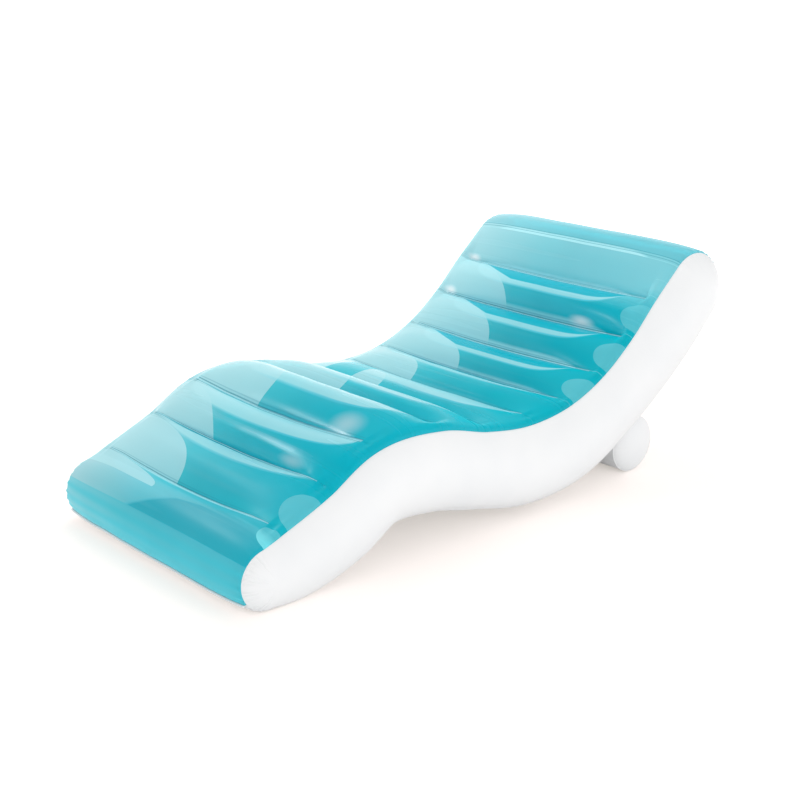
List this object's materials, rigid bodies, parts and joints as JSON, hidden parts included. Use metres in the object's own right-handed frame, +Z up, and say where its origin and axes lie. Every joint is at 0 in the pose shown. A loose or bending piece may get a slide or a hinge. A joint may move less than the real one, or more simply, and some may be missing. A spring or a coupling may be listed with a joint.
{
  "type": "inflatable pool chair",
  "caption": "Inflatable pool lounge: a ribbed, wave-shaped air chamber with a raised knee and back, domed side walls, plug valves and a round bolster welded under the back.",
  "frame": {"origin": "on the floor, in the middle of the chair's length and width", "axes": "+X points from the foot to the head, +Y to the sitter's right, +Z up"},
  "size_m": [1.9289, 0.9882, 0.7109],
  "materials": {
    "aqua_film": "gloss, tinted translucent film",
    "white_film": "satin, opaque white film",
    "valve_vinyl": "gloss, soft clear vinyl"
  },
  "bodies": {
    "chair": {"top_sheet": "aqua_film", "bottom_sheet": "white_film", "side_wall_left": "white_film", "side_wall_right": "white_film", "baffle_01": "aqua_film", "baffle_02": "aqua_film", "baffle_03": "aqua_film", "baffle_04": "aqua_film", "baffle_05": "aqua_film", "baffle_06": "aqua_film", "baffle_07": "aqua_film", "baffle_08": "aqua_film", "baffle_09": "aqua_film", "baffle_10": "aqua_film", "bolster_tube": "white_film", "bolster_cap_left": "white_film", "bolster_cap_right": "white_film", "bolster_weld_strip": "white_film", "main_valve_flange": "valve_vinyl", "bolster_valve_flange": "valve_vinyl"},
    "main_stem": {"main_valve_stem": "valve_vinyl"},
    "main_stopper": {"main_valve_stopper": "valve_vinyl"},
    "main_flap": {"main_valve_check_flap": "valve_vinyl"},
    "bolster_stem": {"bolster_valve_stem": "valve_vinyl"},
    "bolster_stopper": {"bolster_valve_stopper": "valve_vinyl"},
    "bolster_flap": {"bolster_valve_check_flap": "valve_vinyl"}
  },
  "joints": [
    {"name": "main_stem_push", "type": "slide", "parent": "chair", "child": "main_stem", "axis": [-0.9988, 0, 0.0479], "range_m": [0, 0.0075]},
    {"name": "main_stopper_hinge", "type": "hinge", "parent": "main_stem", "child": "main_stopper", "pos_m": [0.96316, 0.25, 0.56636], "axis": [0, -1, 0], "range_deg": [0, 150]},
    {"name": "main_flap_hinge", "type": "hinge", "parent": "main_stem", "child": "main_flap", "pos_m": [0.94165, 0.25, 0.56039], "axis": [0, 1, 0], "range_deg": [0, 60]},
    {"name": "bolster_stem_push", "type": "slide", "parent": "chair", "child": "bolster_stem", "axis": [0, -1, 0], "range_m": [0, 0.0075]},
    {"name": "bolster_stopper_hinge", "type": "hinge", "parent": "bolster_stem", "child": "bolster_stopper", "pos_m": [0.61109, 0.4292, 0.10405], "axis": [1, 0, 0], "range_deg": [0, 150]},
    {"name": "bolster_flap_hinge", "type": "hinge", "parent": "bolster_stem", "child": "bolster_flap", "pos_m": [0.61109, 0.408, 0.09705], "axis": [-1, 0, 0], "range_deg": [0, 60]}
  ]
}
